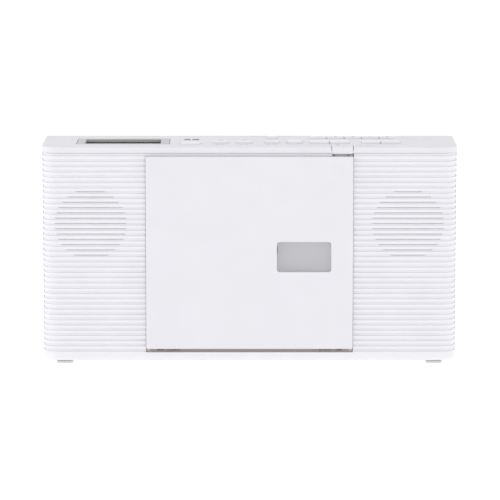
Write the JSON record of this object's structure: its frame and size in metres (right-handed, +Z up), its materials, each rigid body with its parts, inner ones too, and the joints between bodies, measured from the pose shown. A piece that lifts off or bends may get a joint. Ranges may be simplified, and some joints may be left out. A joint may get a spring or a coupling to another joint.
{
  "type": "clock radio",
  "caption": "Slim table clock radio with a ribbed front, slotted grilles, a tipping CD door, top keys with a display, and a folding rod antenna.",
  "frame": {"origin": "on the surface the feet stand on, under the middle of the bounding box", "axes": "+X to the right along the width as seen from the front, +Y from the front to the rear, +Z up"},
  "size_m": [0.3, 0.076, 0.1606],
  "materials": {
    "white_plastic": "fine matt moulded",
    "grey_plastic": "satin",
    "clear_plastic": "polished clear plastic",
    "lcd_glass": "dark reflective display",
    "grey_rubber": "matt",
    "zinc_plated_steel": "zinc plated",
    "spring_steel": "bright drawn",
    "chromed_tube": "polished",
    "black_steel": "black pressed basket",
    "motor_steel": "plated can",
    "black_plastic": "satin",
    "speaker_paper": "pressed paper",
    "circuit_board": "solder mask"
  },
  "bodies": {
    "cabinet": {"battery_tray": "white_plastic", "cabinet_screw_1": "zinc_plated_steel", "cabinet_screw_2": "zinc_plated_steel", "cabinet_screw_3": "zinc_plated_steel", "cabinet_screw_4": "zinc_plated_steel", "cd_well": "white_plastic", "door_spring_left": "spring_steel", "door_spring_right": "spring_steel", "foot_front_left": "grey_rubber", "foot_front_right": "grey_rubber", "foot_rear_left": "grey_rubber", "foot_rear_right": "grey_rubber", "front_cabinet": "white_plastic", "guide_rod": "spring_steel", "headphone_socket": "black_plastic", "hinge_pin_left": "spring_steel", "hinge_pin_right": "spring_steel", "key_board": "circuit_board", "lcd_bezel": "grey_plastic", "lcd_lens": "clear_plastic", "lcd_panel": "lcd_glass", "line_in_socket": "black_plastic", "main_board": "circuit_board", "mains_inlet": "black_plastic", "mains_transformer": "zinc_plated_steel", "mechanism_plate": "zinc_plated_steel", "pickup_motor": "motor_steel", "rear_cabinet": "white_plastic", "speaker_left": "black_steel", "speaker_right": "black_steel", "spindle_motor": "motor_steel", "top_panel": "white_plastic"},
    "door": {"cd_door": "white_plastic", "door_window": "clear_plastic"},
    "opening_button": {"open_key": "white_plastic"},
    "disc_drive": {"turntable": "black_plastic"},
    "pickup_sled": {"laser_pickup": "black_plastic"},
    "sled_gear": {"pickup_gear": "white_plastic"},
    "left_cone": {"speaker_cone_left": "speaker_paper"},
    "right_cone": {"speaker_cone_right": "speaker_paper"},
    "battery_lid": {"battery_cover": "white_plastic"},
    "antenna_base": {"antenna_swivel": "zinc_plated_steel"},
    "antenna_mast": {"antenna_tube_1": "chromed_tube"},
    "antenna_middle": {"antenna_tube_2": "chromed_tube"},
    "antenna_tip": {"antenna_tube_3": "chromed_tube"},
    "power_key_body": {"power_key": "white_plastic"},
    "timer_key_body": {"timer_key": "white_plastic"},
    "sleep_key_body": {"sleep_key": "white_plastic"},
    "display_key_body": {"display_key": "white_plastic"},
    "memory_key_body": {"memory_key": "white_plastic"},
    "mode_key_body": {"mode_key": "white_plastic"},
    "preset_key_1_body": {"preset_key_1": "white_plastic"},
    "preset_key_2_body": {"preset_key_2": "white_plastic"},
    "preset_key_3_body": {"preset_key_3": "white_plastic"},
    "preset_key_4_body": {"preset_key_4": "white_plastic"},
    "preset_key_5_body": {"preset_key_5": "white_plastic"},
    "skip_back_key_body": {"skip_back_key": "white_plastic"},
    "skip_forward_key_body": {"skip_forward_key": "white_plastic"},
    "volume_down_key_body": {"volume_down_key": "white_plastic"},
    "volume_up_key_body": {"volume_up_key": "white_plastic"}
  },
  "joints": [
    {"name": "door_tilt", "type": "hinge", "parent": "cabinet", "child": "door", "pos_m": [0, -0.026, 0.0063], "axis": [1, 0, 0], "range_deg": [0, 40]},
    {"name": "open_key_press", "type": "slide", "parent": "cabinet", "child": "opening_button", "axis": [0, 0, -1], "range_m": [0, 0.0015], "stiffness_N_per_m": 800, "springref_m": -0.002},
    {"name": "turntable_spin", "type": "hinge", "parent": "cabinet", "child": "disc_drive", "pos_m": [0.0102, -0.0235, 0.0815], "axis": [0, 1, 0], "continuous": true},
    {"name": "pickup_slide", "type": "slide", "parent": "cabinet", "child": "pickup_sled", "axis": [-1, 0, 0], "range_m": [0, 0.035]},
    {"name": "pickup_gear_turn", "type": "hinge", "parent": "cabinet", "child": "sled_gear", "pos_m": [-0.0298, -0.012, 0.1088], "axis": [0, 1, 0], "range_deg": [0, 330]},
    {"name": "left_cone_move", "type": "slide", "parent": "cabinet", "child": "left_cone", "axis": [0, 1, 0], "range_m": [-0.0005, 0.0005], "stiffness_N_per_m": 2000},
    {"name": "right_cone_move", "type": "slide", "parent": "cabinet", "child": "right_cone", "axis": [0, 1, 0], "range_m": [-0.0005, 0.0005], "stiffness_N_per_m": 2000},
    {"name": "battery_cover_off", "type": "slide", "parent": "cabinet", "child": "battery_lid", "axis": [0, 1, 0], "range_m": [0, 0.03]},
    {"name": "antenna_swing", "type": "hinge", "parent": "cabinet", "child": "antenna_base", "pos_m": [0.13, 0.034, 0.15], "axis": [0, 0, -1], "range_deg": [0, 180]},
    {"name": "antenna_raise", "type": "hinge", "parent": "antenna_base", "child": "antenna_mast", "pos_m": [0.13, 0.034, 0.15], "axis": [0, 1, 0], "range_deg": [0, 90]},
    {"name": "antenna_extend_1", "type": "slide", "parent": "antenna_mast", "child": "antenna_middle", "axis": [-1, 0, 0], "range_m": [0, 0.2]},
    {"name": "antenna_extend_2", "type": "slide", "parent": "antenna_middle", "child": "antenna_tip", "axis": [-1, 0, 0], "range_m": [0, 0.195]},
    {"name": "power_key_press", "type": "slide", "parent": "cabinet", "child": "power_key_body", "axis": [0, 0, -1], "range_m": [0, 0.0005], "stiffness_N_per_m": 1000, "springref_m": -0.0005},
    {"name": "timer_key_press", "type": "slide", "parent": "cabinet", "child": "timer_key_body", "axis": [0, 0, -1], "range_m": [0, 0.0005], "stiffness_N_per_m": 1000, "springref_m": -0.0005},
    {"name": "sleep_key_press", "type": "slide", "parent": "cabinet", "child": "sleep_key_body", "axis": [0, 0, -1], "range_m": [0, 0.0005], "stiffness_N_per_m": 1000, "springref_m": -0.0005},
    {"name": "display_key_press", "type": "slide", "parent": "cabinet", "child": "display_key_body", "axis": [0, 0, -1], "range_m": [0, 0.0005], "stiffness_N_per_m": 1000, "springref_m": -0.0005},
    {"name": "memory_key_press", "type": "slide", "parent": "cabinet", "child": "memory_key_body", "axis": [0, 0, -1], "range_m": [0, 0.0005], "stiffness_N_per_m": 1000, "springref_m": -0.0005},
    {"name": "mode_key_press", "type": "slide", "parent": "cabinet", "child": "mode_key_body", "axis": [0, 0, -1], "range_m": [0, 0.0005], "stiffness_N_per_m": 1000, "springref_m": -0.0005},
    {"name": "preset_key_1_press", "type": "slide", "parent": "cabinet", "child": "preset_key_1_body", "axis": [0, 0, -1], "range_m": [0, 0.0005], "stiffness_N_per_m": 1000, "springref_m": -0.0005},
    {"name": "preset_key_2_press", "type": "slide", "parent": "cabinet", "child": "preset_key_2_body", "axis": [0, 0, -1], "range_m": [0, 0.0005], "stiffness_N_per_m": 1000, "springref_m": -0.0005},
    {"name": "preset_key_3_press", "type": "slide", "parent": "cabinet", "child": "preset_key_3_body", "axis": [0, 0, -1], "range_m": [0, 0.0005], "stiffness_N_per_m": 1000, "springref_m": -0.0005},
    {"name": "preset_key_4_press", "type": "slide", "parent": "cabinet", "child": "preset_key_4_body", "axis": [0, 0, -1], "range_m": [0, 0.0005], "stiffness_N_per_m": 1000, "springref_m": -0.0005},
    {"name": "preset_key_5_press", "type": "slide", "parent": "cabinet", "child": "preset_key_5_body", "axis": [0, 0, -1], "range_m": [0, 0.0005], "stiffness_N_per_m": 1000, "springref_m": -0.0005},
    {"name": "skip_back_key_press", "type": "slide", "parent": "cabinet", "child": "skip_back_key_body", "axis": [0, 0, -1], "range_m": [0, 0.0005], "stiffness_N_per_m": 1000, "springref_m": -0.0005},
    {"name": "skip_forward_key_press", "type": "slide", "parent": "cabinet", "child": "skip_forward_key_body", "axis": [0, 0, -1], "range_m": [0, 0.0005], "stiffness_N_per_m": 1000, "springref_m": -0.0005},
    {"name": "volume_down_key_press", "type": "slide", "parent": "cabinet", "child": "volume_down_key_body", "axis": [0, 0, -1], "range_m": [0, 0.0005], "stiffness_N_per_m": 1000, "springref_m": -0.0005},
    {"name": "volume_up_key_press", "type": "slide", "parent": "cabinet", "child": "volume_up_key_body", "axis": [0, 0, -1], "range_m": [0, 0.0005], "stiffness_N_per_m": 1000, "springref_m": -0.0005}
  ],
  "couplings": [
    {"joint": "pickup_gear_turn", "follows": "pickup_slide", "rad_per_m": 162.6}
  ]
}
